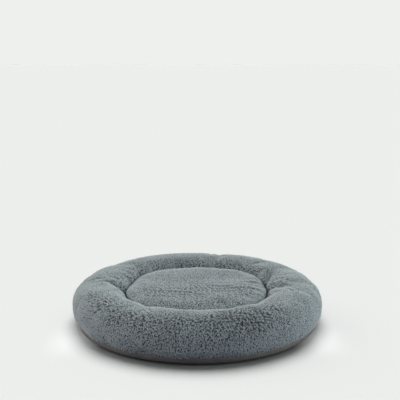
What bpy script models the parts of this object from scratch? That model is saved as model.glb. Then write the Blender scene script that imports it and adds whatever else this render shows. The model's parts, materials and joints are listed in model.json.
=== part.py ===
"""Round pet bed: a stuffed plush ring on a cloth base, with a loose stuffed cushion in its nest.

Lengths are in metres. +Z is up, the floor is z = 0 and the bed's axis is the Z axis. The front faces
-Y. The ring's cover closes with a zip low on the back, at +Y.

Every soft piece is a section of (radius, height) points carried round the Z axis. The plush surface is
the master outline, and each layer under it is the same outline moved inward by the cloth between. The
nest is a rounded square in plan, so the sections on its side change a little as they go round.
"""

import math

import bmesh
import bpy
from mathutils import Matrix, Vector

# Ring
BED_RADIUS = 0.300
RING_WIDTH = 0.137
RING_HEIGHT = 0.101
FLAT_REACH = 0.020  # from the ring's centre line to where its underside leaves the floor
CROWN_POWER = 2.64
FOOT_POWER = 2.3

# Cloth layers
PILE = 0.0028
CLOTH = 0.0012
GAP = 0.0003

# Base, below and inside the ring
SEAM_HEIGHT = 0.014
WADDING_THICKNESS = 0.011

# Cushion
CUSHION_THICKNESS = 0.075
CUSHION_CLEARANCE = 0.0025
CUSHION_DISH = 0.004
CUSHION_SEAM_HEIGHT = 0.030
CUSHION_SEAM_DRAW = 0.003
CUSHION_SEAM_ROLL = 0.006
CUSHION_RIM_WIDTH = 0.030
CUSHION_RIM_HEIGHT = 0.013
CUSHION_FOOT_WIDTH = 0.016
CUSHION_FOOT_HEIGHT = 0.016

# Zip, in the ring's cover at the back
ZIP_LENGTH = 0.360
SLOT_WIDTH = 0.0120
TAPE_WIDTH = 0.011
TAPE_THICKNESS = 0.0008
TAPE_SLACK = 0.0013
TAPE_END = 0.010
COIL_WIDTH = 0.0027
COIL_THICKNESS = 0.0020
COIL_SLIT = 0.0014
STOP_LENGTH = 0.0030

# Zip slider and its pull
RUNNING_GAP = 0.00045
SLIDER_LENGTH = 0.0095
PLATE_THICKNESS = 0.0012
FLANGE_THICKNESS = 0.0009
NECK_WIDTH = 0.0008
BAIL_LENGTH = 0.0072
BAIL_WIDTH = 0.0014
BAIL_BAR = 0.0009
BAIL_HEIGHT = 0.0048
PULL_LENGTH = 0.024
PULL_WIDTH = 0.0068
PULL_THICKNESS = 0.0012
PULL_EYE_LENGTH = 0.0058
PULL_EYE_WIDTH = 0.0030
PULL_LIFT = 0.0025
EDGE_ROUND = 0.0003

# Counts, angles and shares
AROUND = 40
ZIP_STEPS = 30
SLOT_STEPS = 10
CROWN_STEPS = 4
TIP_SIDES = 8
ZIP_AZIMUTH = math.radians(90)
SMOOTH_ANGLE = math.radians(40)

# Gathers in the ring's nest side: how deep the cloth is drawn in, by the step of AROUND they are at.
GATHER_DEPTH = 0.012
GATHER_SHARES = {
    0: 0.92,
    4: 0.92,
    6: 0.33,
    9: 0.5,
    12: 0.25,
    15: 0.67,
    17: 0.33,
    20: 1.0,
    23: 0.33,
    26: 0.5,
    29: 0.33,
    32: 0.42,
    35: 0.5,
    38: 0.33,
}
GATHER_FADE_SHARES = (0.18, 1.0, 1.0, 1.0, 1.0, 0.68, 0.0)  # from the ring's crest down its nest side

# The nest and its cushion are a rounded square in plan, wider than a circle by these shares, the first at
# the bed's right and then evenly round by its back.
NEST_BULGE = 0.014
NEST_SHARES = (
    *(-0.1, 0.2, 0.85, 0.85, 0.65, 0.55, 0.6, 0.8, 0.45, 0.1),
    *(0.15, 0.45, 0.5, 0.4, 0.2, 0.15, 0.2, 0.4, 0.4, 0.15),
)
NEST_FADE_SHARES = (0.0, 0.45, 0.9, 1.0, 1.0, 1.0, 1.0)  # from the ring's crest down its nest side

# Where the ring's section has a corner between its seam and its waist. The zip lies along the straight
# stretch from the seam to there.
FLANK_SHARE = 0.8

# Outlines


def ring_centre():
    """Radius of the ring's centre line."""
    return BED_RADIUS - RING_WIDTH / 2


def waist_height():
    """Height at which the ring is widest; the plush outline's foot is a pile's depth under the floor."""
    return (RING_HEIGHT - PILE) / 2


def quarter(width, height, power, share):
    """A point on a quarter of a superellipse: share 0 is its side, share 1 its top."""
    turn = share * math.pi / 2
    across = width * max(math.cos(turn), 0.0) ** (2 / power)
    return across, height * math.sin(turn) ** (2 / power)


def crown_half_width(height):
    """Half of the plush ring's width at a height above its waist."""
    rise = max(height - waist_height(), 0.0) / (RING_HEIGHT - waist_height())
    return RING_WIDTH / 2 * max(1 - rise**CROWN_POWER, 0.0) ** (1 / CROWN_POWER)


def foot_half_width(height):
    """Half of the plush ring's width at a height below its waist."""
    drop = (waist_height() - height) / (waist_height() + PILE)
    reach = RING_WIDTH / 2 - FLAT_REACH
    return FLAT_REACH + reach * (1 - drop**FOOT_POWER) ** (1 / FOOT_POWER)


def ring_foot():
    """The plush ring's outer foot, from where it leaves the floor to just below its seam."""
    height = (SEAM_HEIGHT - PILE) / 2
    return [(ring_centre() + FLAT_REACH, -PILE), (ring_centre() + foot_half_width(height), height)]


def ring_flank():
    """The straight stretch of the ring's outer side, from its seam up to a corner below its waist."""
    corner = SEAM_HEIGHT + FLANK_SHARE * (waist_height() - SEAM_HEIGHT)
    return [(ring_centre() + foot_half_width(height), height) for height in (SEAM_HEIGHT, corner)]


def ring_crown():
    """The ring's upper half, from its outer waist over the crest to its waist on the nest side."""
    rise = RING_HEIGHT - waist_height()
    shares = [step / CROWN_STEPS for step in range(CROWN_STEPS + 1)]
    crown = [quarter(RING_WIDTH / 2, rise, CROWN_POWER, share) for share in shares]
    outer = [(ring_centre() + x, waist_height() + z) for x, z in crown]
    return outer + [(ring_centre() - x, waist_height() + z) for x, z in reversed(crown[:-1])]


def ring_nest_side():
    """The nest side's lower half, down to the cloth of the base."""
    low = CLOTH + GAP
    heights = ((waist_height() + low) / 2, low)
    return [(ring_centre() - foot_half_width(height), height) for height in heights]


def ring_outline():
    """The plush ring's closed section, from the outer foot over the crest to the nest side's foot."""
    foot_end = (ring_centre() - FLAT_REACH, -PILE)
    return ring_foot() + ring_flank() + ring_crown() + ring_nest_side() + [foot_end]


def seam_place():
    """Place of the seam's point in the ring's outline."""
    return len(ring_foot())


def crest_place():
    """Place of the crest's point in the ring's outline."""
    return seam_place() + len(ring_flank()) + CROWN_STEPS


def moved_inward(outline, depth, closed):
    """An outline with each edge moved to its left-hand side by a depth, corners mitred."""
    moved = []
    for place, point in enumerate(outline):
        before = outline[place - 1] if closed or place > 0 else None
        after = outline[(place + 1) % len(outline)] if closed or place < len(outline) - 1 else None
        normals = []
        for start, end in ((before, point), (point, after)):
            if start is None or end is None:
                continue
            edge = Vector(end) - Vector(start)
            normals.append(Vector((-edge.y, edge.x)).normalized())
        lean = sum(normals, Vector((0.0, 0.0))).normalized()
        shift = lean * (depth / lean.dot(normals[0]))
        moved.append((point[0] + shift.x, point[1] + shift.y))
    return moved


def on_axis(outline):
    """The same outline with its first and last points put back on the Z axis."""
    first, last = outline[0], outline[-1]
    return [(0.0, first[1])] + outline[1:-1] + [(0.0, last[1])]


def stepped(start, end, distance):
    """The point a distance along the way from a start to an end."""
    way = Vector(end) - Vector(start)
    return tuple(Vector(start) + way.normalized() * distance)


def nest_bulge(azimuth):
    """How much wider than a circle the nest is at an azimuth, between the two nearest shares."""
    place = azimuth / (2 * math.pi) * len(NEST_SHARES)
    step = math.floor(place)
    low, high = (NEST_SHARES[k % len(NEST_SHARES)] for k in (step, step + 1))
    return NEST_BULGE * (low + (high - low) * (place - step))


def nest_shifts(azimuth):
    """How far each point of the ring's outline is moved by the nest's plan and drawn in by the gathers."""
    depth = GATHER_DEPTH * GATHER_SHARES.get(round(azimuth / (2 * math.pi) * AROUND), 0.0)
    middle = Vector((ring_centre(), waist_height()))
    outline = ring_outline()
    shifts = [Vector((0.0, 0.0)) for point in outline]
    for step, (drawn, widened) in enumerate(zip(GATHER_FADE_SHARES, NEST_FADE_SHARES)):
        place = crest_place() + step
        inward = (middle - Vector(outline[place])).normalized()
        shifts[place] = inward * depth * drawn + Vector((nest_bulge(azimuth) * widened, 0.0))
    return shifts


def ring_layer(depth, azimuth):
    """The ring's outline at a depth under the plush surface, shaped as it is at an azimuth."""
    layer = moved_inward(ring_outline(), depth, closed=True)
    return [(r + shift.x, z + shift.y) for (r, z), shift in zip(layer, nest_shifts(azimuth))]


def widened(section, azimuth):
    """A section of the cushion, widened as the nest is at an azimuth."""
    share = 1 + nest_bulge(azimuth) / side_radius(cushion_seam_level())
    return [(radius * share, height) for radius, height in section]


def floor_level():
    """Top of the nest's floor cloth."""
    return CLOTH + GAP + WADDING_THICKNESS + GAP + CLOTH


def nest_floor_radius():
    """Radius of the discs under the cushion, just inside the ring's foot."""
    return ring_centre() - foot_half_width(floor_level()) - GAP


def side_radius(height):
    """The cushion's radius at a height: clear of the ring there and all the way up and out."""
    return ring_centre() - crown_half_width(height) - CUSHION_CLEARANCE


def cushion_seam_level():
    """Height of the seam between the cushion's plush top and its plain underside."""
    return floor_level() + GAP + CUSHION_SEAM_HEIGHT


def cushion_under():
    """The plush cushion's section from its underside's centre out to just below its seam."""
    foot = floor_level() + GAP - PILE
    inner = side_radius(cushion_seam_level()) - CUSHION_FOOT_WIDTH
    points = [(0.0, foot), (inner, foot)]
    for share in (0.5, 0.0):
        across, down = quarter(CUSHION_FOOT_WIDTH, CUSHION_FOOT_HEIGHT, 2, share)
        points.append((inner + across, foot + CUSHION_FOOT_HEIGHT - down))
    return points


def cushion_top():
    """The plush cushion's section from its seam over its rim to its top's centre."""
    seam = cushion_seam_level()
    crest = floor_level() + GAP + CUSHION_THICKNESS
    rim = crest - CUSHION_RIM_HEIGHT
    bulge = seam + CUSHION_SEAM_ROLL
    points = [(side_radius(seam) - CUSHION_SEAM_DRAW, seam)]
    for share in (0.0, 0.5, 1.0):
        height = bulge + (rim - bulge) * share
        points.append((side_radius(height), height))
    inner = side_radius(rim) - CUSHION_RIM_WIDTH
    for share in (1 / 3, 2 / 3, 1.0):
        across, up = quarter(CUSHION_RIM_WIDTH, CUSHION_RIM_HEIGHT, 2, share)
        points.append((inner + across, rim + up))
    for share in (0.66, 0.33, 0.0):
        dip = CUSHION_DISH * (1 + math.cos(math.pi * share)) / 2
        points.append((inner * share, crest - dip))
    return points


# Building


def clear_scene():
    for obj in list(bpy.data.objects):
        bpy.data.objects.remove(obj, do_unlink=True)


def material(name, colour, roughness, metallic=0.0):
    made = bpy.data.materials.new(name)
    made.use_nodes = True
    shader = made.node_tree.nodes["Principled BSDF"]
    shader.inputs["Base Color"].default_value = (*colour, 1.0)
    shader.inputs["Roughness"].default_value = roughness
    shader.inputs["Metallic"].default_value = metallic
    return made


def plush(name):
    return material(name, (0.22, 0.26, 0.265), 0.95)


def base_cloth(name):
    return material(name, (0.055, 0.05, 0.047), 0.8)


def lining_cloth(name):
    return material(name, (0.16, 0.17, 0.175), 0.9)


def stuffing(name):
    return material(name, (0.78, 0.78, 0.76), 0.95)


def zip_cloth(name):
    return material(name, (0.07, 0.075, 0.08), 0.85)


def zip_coil(name):
    return material(name, (0.06, 0.065, 0.07), 0.45)


def zip_metal(name):
    return material(name, (0.12, 0.125, 0.13), 0.4, 1.0)


def added(name, bm, surface):
    """Puts a mesh in the scene as an object, shaded smooth except at its sharp edges.

    Quads are split along their shorter diagonal, so that two layers of one outline stay parallel.
    """
    bmesh.ops.triangulate(bm, faces=bm.faces, quad_method="SHORT_EDGE")
    bmesh.ops.recalc_face_normals(bm, faces=bm.faces)
    mesh = bpy.data.meshes.new(name)
    bm.to_mesh(mesh)
    bm.free()
    mesh.shade_smooth()
    mesh.set_sharp_from_angle(angle=SMOOTH_ANGLE)
    obj = bpy.data.objects.new(name, mesh)
    bpy.context.collection.objects.link(obj)
    if surface is not None:
        mesh.materials.append(surface(name))
    return obj


def turned(name, azimuths, section_at, surface, whole=True):
    """Carries a section round the Z axis; points on the axis share one vertex, and an arc is capped."""
    bm = bmesh.new()
    poles = {}
    rows = []
    for azimuth in azimuths:
        row = []
        for place, (radius, height) in enumerate(section_at(azimuth)):
            if radius == 0.0:
                if place not in poles:
                    poles[place] = bm.verts.new((0.0, 0.0, height))
                row.append(poles[place])
            else:
                row.append(bm.verts.new((radius * math.cos(azimuth), radius * math.sin(azimuth), height)))
        rows.append(row)
    for here, there in zip(rows, rows[1:] + rows[:1] if whole else rows[1:]):
        for place in range(len(here)):
            after = (place + 1) % len(here)
            corners = dict.fromkeys((here[place], here[after], there[after], there[place]))
            if len(corners) > 2:
                bm.faces.new(corners)
    if not whole:
        bm.faces.new(rows[0])
        bm.faces.new(rows[-1])
    return added(name, bm, surface)


def prism(name, outline, low, high, surface):
    """Extrudes an outline of (x, y) points between two heights."""
    bm = bmesh.new()
    face = bm.faces.new([bm.verts.new((x, y, low)) for x, y in outline])
    top = bmesh.ops.extrude_face_region(bm, geom=[face])["geom"]
    rise = Vector((0.0, 0.0, high - low))
    bmesh.ops.translate(bm, vec=rise, verts=[v for v in top if isinstance(v, bmesh.types.BMVert)])
    return added(name, bm, surface)


def combined(obj, tool, operation):
    """Joins a tool to an object or cuts it out; the tool itself is only a guide."""
    tool.hide_render = True
    tool.display_type = "WIRE"
    change = obj.modifiers.new(tool.name, "BOOLEAN")
    change.object = tool
    change.operation = operation
    change.solver = "EXACT"


def softened(obj):
    bevel = obj.modifiers.new("edge_round", "BEVEL")
    bevel.width = EDGE_ROUND
    bevel.segments = 1
    bevel.limit_method = "ANGLE"
    bevel.angle_limit = SMOOTH_ANGLE


def all_round():
    return [2 * math.pi * step / AROUND for step in range(AROUND)]


# Ring and base


def build_ring():
    cloth = PILE + CLOTH

    def cover(azimuth):
        outside = ring_layer(0.0, azimuth)[seam_place() : -1]
        inside = ring_layer(cloth, azimuth)[seam_place() : -1]
        for layer in (outside, inside):
            layer[0] = stepped(layer[0], layer[1], GAP)
        return outside + inside[::-1]

    ring_cover = turned("ring_cover", all_round(), cover, plush)
    ring_fill = turned("ring_fill", all_round(), lambda azimuth: ring_layer(cloth + GAP, azimuth), stuffing)
    combined(ring_cover, zip_slot(), "DIFFERENCE")
    combined(ring_fill, zip_channel(), "DIFFERENCE")


def build_base():
    def panel(azimuth):
        outside = ring_layer(PILE, azimuth)[: seam_place() + 1]
        inside = ring_layer(PILE + CLOTH, azimuth)[: seam_place() + 1]
        return [(0.0, 0.0)] + outside + inside[::-1] + [(0.0, CLOTH)]

    turned("base_panel", all_round(), panel, base_cloth)
    low = CLOTH + GAP
    disc("base_wadding", low, low + WADDING_THICKNESS, stuffing)
    disc("nest_floor", floor_level() - CLOTH, floor_level(), lining_cloth)


def disc(name, low, high, surface):
    def section(azimuth):
        radius = nest_floor_radius() + nest_bulge(azimuth)
        return [(0.0, low), (radius, low), (radius, high), (0.0, high)]

    return turned(name, all_round(), section, surface)


# Cushion


def build_cushion():
    below, top = cushion_under(), cushion_top()
    outline, seam = below + top, len(below)
    pile = on_axis(moved_inward(outline, PILE, closed=False))
    cloth = on_axis(moved_inward(outline, PILE + CLOTH, closed=False))
    fill = on_axis(moved_inward(outline, PILE + CLOTH + GAP, closed=False))
    under = cloth[seam:]
    for layer in (top, under):
        layer[0] = stepped(layer[0], layer[1], GAP)
    skin = pile[: seam + 1] + cloth[seam::-1]
    turned("cushion_cover", all_round(), lambda azimuth: widened(top + under[::-1], azimuth), plush)
    turned("cushion_base", all_round(), lambda azimuth: widened(skin, azimuth), lining_cloth)
    turned("cushion_fill", all_round(), lambda azimuth: widened(fill, azimuth), stuffing)


# Zip


def zip_frame():
    """Where the zip crosses the ring's plush section: the point, and the way up and out from it."""
    seam, corner = map(Vector, ring_flank())
    up = (corner - seam).normalized()
    return (seam + corner) / 2, up, Vector((up.y, -up.x))


def zip_point(up, deep):
    """A point of the zip's section: a way up the ring's flank and a depth under its plush surface."""
    here, climb, out = zip_frame()
    return tuple(here + climb * up - out * deep)


def tape_depth():
    return PILE + CLOTH + TAPE_SLACK


def coil_depth():
    """Depth of the coils' outer side."""
    return tape_depth() - GAP - COIL_THICKNESS


def plate_depth():
    """Depth of the slider's outer side."""
    return coil_depth() - RUNNING_GAP - PLATE_THICKNESS


def zip_solid(name, section, length, surface, steps=ZIP_STEPS):
    """Carries a section along a length of the zip, about its middle."""
    half = length / 2 / zip_frame()[0].x
    azimuths = [ZIP_AZIMUTH + half * (2 * step / steps - 1) for step in range(steps + 1)]
    return turned(name, azimuths, lambda azimuth: section, surface, whole=False)


def zip_band(low, high, shallow, deep):
    """A section of straight sides between two places up the flank and two depths."""
    return [zip_point(low, shallow), zip_point(high, shallow), zip_point(high, deep), zip_point(low, deep)]


def zip_slot():
    """The long slot in the ring's cover that the zip lies in."""
    section = zip_band(-SLOT_WIDTH / 2, SLOT_WIDTH / 2, -PILE, tape_depth())
    length = ZIP_LENGTH + 2 * STOP_LENGTH + SLOT_WIDTH / 2
    return zip_solid("zip_slot_cutter", section, length, None, SLOT_STEPS)


def zip_channel():
    """The room behind the zip, let into the ring's fill for the tapes and the slider's inner plate."""
    half = COIL_SLIT / 2 + TAPE_WIDTH + RUNNING_GAP
    deep = tape_depth() + TAPE_THICKNESS + RUNNING_GAP + PLATE_THICKNESS + RUNNING_GAP
    length = ZIP_LENGTH + 2 * STOP_LENGTH + 2 * TAPE_END + 2 * RUNNING_GAP
    return zip_solid("zip_channel_cutter", zip_band(-half, half, PILE, deep), length, None)


def build_tapes_and_coils():
    near, far = COIL_SLIT / 2, COIL_SLIT / 2 + TAPE_WIDTH
    length = ZIP_LENGTH + 2 * STOP_LENGTH + 2 * TAPE_END
    for name, side in (("upper", 1), ("lower", -1)):
        tape = zip_band(side * near, side * far, tape_depth(), tape_depth() + TAPE_THICKNESS)
        zip_solid(f"zip_tape_{name}", tape, length, zip_cloth)
        zip_solid(f"zip_coil_{name}", coil_section(side), ZIP_LENGTH, zip_coil)


def coil_section(side):
    """A coil's rounded section, standing on its tape."""
    low = tape_depth() - GAP
    middle = side * (COIL_SLIT + COIL_WIDTH) / 2
    section = []
    for step in range(TIP_SIDES):
        turn = 2 * math.pi * (step + 0.5) / TIP_SIDES
        across = COIL_WIDTH / 2 * math.cos(turn) / math.cos(math.pi / TIP_SIDES)
        rise = COIL_THICKNESS / 2 * (1 + math.sin(turn) / math.cos(math.pi / TIP_SIDES))
        section.append(zip_point(middle + across, low - rise))
    return section


def build_stops():
    """A block across both tapes past each end of the coils."""
    half = COIL_SLIT / 2 + COIL_WIDTH
    section = zip_band(-half, half, coil_depth(), tape_depth() - GAP)
    radius = zip_frame()[0].x
    for name, side in (("start", -1), ("end", 1)):
        near = ZIP_AZIMUTH + side * (ZIP_LENGTH / 2 + GAP) / radius
        far = near + side * STOP_LENGTH / radius
        turned(f"zip_stop_{name}", (near, far), lambda azimuth: section, zip_metal, whole=False)


def slider_azimuth():
    """Where the closed zip's slider stands, just past the start stop."""
    from_middle = ZIP_LENGTH / 2 - SLIDER_LENGTH / 2 - RUNNING_GAP
    return ZIP_AZIMUTH - from_middle / zip_frame()[0].x


def zip_placement(deep):
    """Axes on the ring's flank: x along the zip, y up the flank and z out, at the slider's rest place."""
    here, up, out = zip_frame()
    spot = here - out * deep
    along = Vector((0.0, 1.0, 0.0))
    climb = Vector((up.x, 0.0, up.y))
    away = Vector((out.x, 0.0, out.y))
    frame = Matrix((along, climb, away)).transposed().to_4x4()
    frame.translation = Vector((spot.x, 0.0, spot.y))
    return frame


def build_slider(axis):
    """An I-shaped body round the tapes and coils, with a bail on its outer plate for the pull."""
    half = COIL_SLIT / 2 + COIL_WIDTH + RUNNING_GAP + FLANGE_THICKNESS
    inner = tape_depth() + TAPE_THICKNESS + RUNNING_GAP - plate_depth()
    lip = tape_depth() - RUNNING_GAP - plate_depth()
    wall = half - FLANGE_THICKNESS
    side = [(half, 0.0), (half, -lip), (wall, -lip), (wall, -PLATE_THICKNESS)]
    side += [(NECK_WIDTH / 2, -PLATE_THICKNESS), (NECK_WIDTH / 2, -inner), (half, -inner)]
    side += [(half, -inner - PLATE_THICKNESS)]
    outline = side + [(-x, y) for x, y in reversed(side)]
    slider = prism("zip_slider", outline, -SLIDER_LENGTH / 2, SLIDER_LENGTH / 2, zip_metal)
    upright = Matrix(((0.0, 0.0, 1.0), (1.0, 0.0, 0.0), (0.0, 1.0, 0.0))).to_4x4()
    slider.data.transform(upright)
    combined(slider, bail(slider), "UNION")
    softened(slider)
    slider.parent = axis
    slider.matrix_local = zip_placement(plate_depth())
    return slider


def bail(slider):
    """The arch over the slider's outer plate, rooted a little way into the plate."""
    half, root = BAIL_LENGTH / 2, -PLATE_THICKNESS / 2
    arch = [(-half, root), (-half, BAIL_HEIGHT), (half, BAIL_HEIGHT), (half, root)]
    arch += [(half - BAIL_BAR, root), (half - BAIL_BAR, BAIL_HEIGHT - BAIL_BAR)]
    arch += [(BAIL_BAR - half, BAIL_HEIGHT - BAIL_BAR), (BAIL_BAR - half, root)]
    made = prism("zip_bail_guide", arch, -BAIL_WIDTH / 2, BAIL_WIDTH / 2, None)
    made.data.transform(Matrix.Rotation(math.pi / 2, 4, "X"))
    made.parent = slider
    return made


def build_pull(slider):
    """A flat tab with an eye; its origin is on its hinge, the bar of the eye that the bail goes round."""
    bar = PULL_THICKNESS / 2
    half = PULL_WIDTH / 2
    outline = [(-bar, -half), (PULL_LENGTH - half, -half)]
    for step in range(1, TIP_SIDES):
        turn = math.pi * (step / TIP_SIDES - 0.5)
        outline.append((PULL_LENGTH - half + half * math.cos(turn), half * math.sin(turn)))
    outline += [(PULL_LENGTH - half, half), (-bar, half)]
    pull = prism("zip_pull", outline, -bar, bar, zip_metal)
    eye_half = PULL_EYE_WIDTH / 2
    eye = [(bar, -eye_half), (bar + PULL_EYE_LENGTH, -eye_half)]
    eye += [(bar + PULL_EYE_LENGTH, eye_half), (bar, eye_half)]
    cutter = prism("zip_eye_cutter", eye, -PULL_THICKNESS, PULL_THICKNESS, None)
    cutter.parent = pull
    combined(pull, cutter, "DIFFERENCE")
    softened(pull)
    pull.parent = slider
    pull.location = (0.0, 0.0, PULL_LIFT)


def build_zip():
    build_tapes_and_coils()
    build_stops()
    axis = bpy.data.objects.new("zip_slider_axis", None)
    axis.rotation_euler.z = slider_azimuth()
    bpy.context.collection.objects.link(axis)
    build_pull(build_slider(axis))


def main():
    clear_scene()
    build_ring()
    build_base()
    build_cushion()
    build_zip()


if __name__ == "__main__":
    main()
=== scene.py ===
"""Round pet bed: a plush ring on a dark cloth base, with a loose plush cushion in its nest.

Lengths are in metres in the bed's own frame: +Z up, the floor at z = 0, the Z axis through the bed's
middle, the front at -Y and the zip low on the back at +Y.
"""

import json
import math

import bpy
import mathutils
import numpy as np
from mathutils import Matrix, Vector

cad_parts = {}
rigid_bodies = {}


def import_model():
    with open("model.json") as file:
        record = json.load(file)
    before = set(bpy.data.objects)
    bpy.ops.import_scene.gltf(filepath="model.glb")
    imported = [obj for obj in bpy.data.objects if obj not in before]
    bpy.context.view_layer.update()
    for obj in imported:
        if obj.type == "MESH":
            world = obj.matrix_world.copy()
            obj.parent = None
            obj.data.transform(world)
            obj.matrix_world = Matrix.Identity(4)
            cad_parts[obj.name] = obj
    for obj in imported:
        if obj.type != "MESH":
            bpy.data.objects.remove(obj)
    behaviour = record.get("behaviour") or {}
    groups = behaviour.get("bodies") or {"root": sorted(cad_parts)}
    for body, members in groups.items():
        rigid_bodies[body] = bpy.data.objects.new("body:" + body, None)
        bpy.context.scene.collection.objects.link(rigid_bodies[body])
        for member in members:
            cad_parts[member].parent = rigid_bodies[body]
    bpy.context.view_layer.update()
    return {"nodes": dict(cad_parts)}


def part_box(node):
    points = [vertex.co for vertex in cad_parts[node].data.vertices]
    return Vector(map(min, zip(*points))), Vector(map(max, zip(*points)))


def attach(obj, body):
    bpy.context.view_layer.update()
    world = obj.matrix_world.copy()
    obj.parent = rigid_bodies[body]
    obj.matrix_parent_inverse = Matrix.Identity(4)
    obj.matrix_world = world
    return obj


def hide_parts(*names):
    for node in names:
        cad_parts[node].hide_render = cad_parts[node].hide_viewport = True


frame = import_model()

bl_info = {
    "name": "Round pet bed",
    "version": (1, 0, 0),
    "blender": (4, 5, 0),
    "location": "3D View > Sidebar > Pet bed",
    "description": "Makes a round plush pet bed with a loose cushion and a zipped cover",
    "category": "Object",
}

BAKE_MAP = "OFBake"
WEAVE_MAP = "weave"

# Creases where the ring's cover is gathered: azimuth in degrees at the nest's edge (0 is the bed's right
# and 90 its back), how many degrees it slants by 45 mm further out, depth in millimetres, and how many
# millimetres past the ring's crest it starts.
CREASES = np.array(
    [
        (359, -6, 10.0, -5),
        (14, 12, 10.0, -4),
        (42, 13, 5.0, -6),
        (78, 1, 6.0, -2),
        (108, 0, 3.0, 8),
        (146, -7, 7.0, 4),
        (185, -5, 11.0, -4),
        (207, 0, 4.0, 12),
        (234, 0, 5.5, 14),
        (261, 0, 4.0, 14),
        (288, 0, 4.5, 14),
        (315, 0, 5.5, 14),
        (340, 0, 4.0, 10),
    ]
)

# The nest and its cushion are a rounded square in plan, wider than a circle by these shares of NEST_BULGE,
# the first at the bed's right and then evenly round by its back.
NEST_BULGE = 0.014
NEST_SHARES = (
    *(-0.1, 0.2, 0.85, 0.85, 0.65, 0.55, 0.6, 0.8, 0.45, 0.1),
    *(0.15, 0.45, 0.5, 0.4, 0.2, 0.15, 0.2, 0.4, 0.4, 0.15),
)


# Sizes and colours


def length_property(name, description, default):
    """A size in metres."""
    return bpy.props.FloatProperty(name=name, description=description, default=default, unit="LENGTH")


def colour_property(name, description, default):
    """A colour as an sRGB hex value."""
    return bpy.props.StringProperty(name=name, description=description, default=default)


class PETBED_PG_sizes(bpy.types.PropertyGroup):
    """Sizes of the bed's soft parts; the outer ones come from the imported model."""

    bed_radius: length_property("Bed radius", "Radius of the ring's plush outside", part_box("ring_cover")[1].x)
    ring_height: length_property("Ring height", "Height of the ring's plush crest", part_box("ring_cover")[1].z)
    ring_width: length_property("Ring width", "Width of the plush ring's section", 0.137)
    cushion_crest: length_property(
        "Cushion crest", "Height of the cushion's plush rim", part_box("cushion_cover")[1].z
    )
    pile: length_property("Pile", "How far the plush surface stands off its cloth", 0.0028)
    curl_spacing: length_property("Curl spacing", "Distance between neighbouring curls", 0.0029)
    curl_length: length_property("Curl length", "How far a curl rises from the cloth", 0.0040)
    curl_width: length_property("Curl width", "Thickness of a curl", 0.0027)
    softness: bpy.props.FloatProperty(
        name="Softness", description="How much the pile is lit as its cloth, from 0 to 1", default=0.6
    )
    clump_size: length_property("Clump size", "Distance between clumps of curls", 0.0080)


class PETBED_PG_looks(bpy.types.PropertyGroup):
    """Colours, as sRGB hex values, and the stage's light."""

    curl_tip: colour_property("Curl tips", "Colour of the pile's tips", "#A5B2B3")
    # The root colour is painted shade: darker deep in the pile, where less light gets in between the curls.
    curl_root_shade: colour_property("Curl root shade", "Colour deep in the pile", "#494C50")
    base_cloth: colour_property("Base cloth", "Dark cloth under the bed", "#8B8A84")
    lining: colour_property("Lining", "Cloth under the cushion", "#6E7577")
    floor: colour_property("Floor", "Studio floor", "#EAECEA")
    bounce: colour_property("Bounce", "Light that the floor throws back", "#ACA9B6")
    backdrop: colour_property("Backdrop", "Wall past the floor", "#EEF0EE")
    key_strength: bpy.props.FloatProperty(name="Lights", description="Strength of the lights", default=1.0)
    fill_strength: bpy.props.FloatProperty(
        name="Fill light", description="Strength of the light all round", default=0.04
    )


def sizes():
    """The sizes that the add-on's panel shows."""
    return bpy.context.scene.pet_bed_sizes


def looks():
    """The colours and lights that the add-on's panel shows."""
    return bpy.context.scene.pet_bed_looks


# The ring's section and skin.
RING_CELL = 0.005
RING_COLUMNS = 288
QUARTER_POINTS = 400
RING_SKIN_SINK = 0.0032  # how much deeper the skin starts than it ends, for it swells as it is stuffed
CLOTH = 0.0012
GAP = 0.0003
CLOTH_CLEARANCE = 0.0002
FLAT_REACH = 0.020
CROWN_POWER = 2.64
FOOT_POWER = 2.3
FOOT_SPREAD = 0.0135
FOOT_SPREAD_TOP = 0.0235
SEAM_HEIGHT = 0.0190
FLOOR_LEVEL = 0.0140
BASE_TURN_UP = 0.052  # how much of the section the base's cloth covers round the foot, as far as the seam
CREASE_HELD = 0.0045  # gathers deeper than this are sewn, and stay where they are

# The cushion's section and skin.
CUSHION_CELLS = 60
CUSHION_ROWS = 24
CUSHION_SKIN_SINK = 0.0012
CUSHION_CLEARANCE = 0.0025
CUSHION_DISH = 0.004
CUSHION_SEAM_HEIGHT = 0.030
CUSHION_SEAM_DRAW = 0.003
CUSHION_SEAM_ROLL = 0.006
CUSHION_RIM_WIDTH = 0.030
CUSHION_RIM_HEIGHT = 0.013
CUSHION_FOOT = 0.016

# The zip's section in the ring's flank: its point, the way up the flank, and depths under the plush.
ZIP_POINT = np.array([0.294969, 0.02804])
ZIP_UP = np.array([0.324629, 0.945841])
ZIP_OUT = np.array([0.945841, -0.324629])
ZIP_LENGTH = 0.360
ZIP_SLOT_HALF = 0.0062
ZIP_SLOT_LENGTH = 0.372
ZIP_SLOT_DEPTH = 0.0086
ZIP_PILE_CLEARANCE = 0.0032  # no pile this far above the slot, for the slider to pass below it
TAPE_DEPTH = 0.0053
TAPE_THICKNESS = 0.0008
TAPE_WIDTH = 0.011
TAPE_OVERRUN = 0.013
TAPE_ROWS = 7
SLIT = 0.0014

# The zip's coils: turns, points in a turn and round the wire, and the wire's radius, then half the coil's
# width and height, and its middle's place past the slit's edge and under the plush.
COIL_TURNS, COIL_STEPS, WIRE_SIDES = 240, 10, 5
WIRE = 0.00028
COIL_HALF_WIDTH, COIL_HALF_HEIGHT = 0.00145, 0.0010
COIL_MIDDLE, COIL_DEPTH = 0.00125, 0.0040

# The camera's place and dip in degrees, fitted to the bed's outline in the photograph.
EYE = (0.0066, -1.8648202, 0.6733531)
EYE_DIP = 11.3546
EYE_LENS = 72.0


# Shapes as arrays


def smooth_step(x):
    """0 below 0 and 1 above 1, with three x squared less two x cubed between."""
    x = np.clip(x, 0.0, 1.0)
    return x * x * (3.0 - 2.0 * x)


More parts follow.
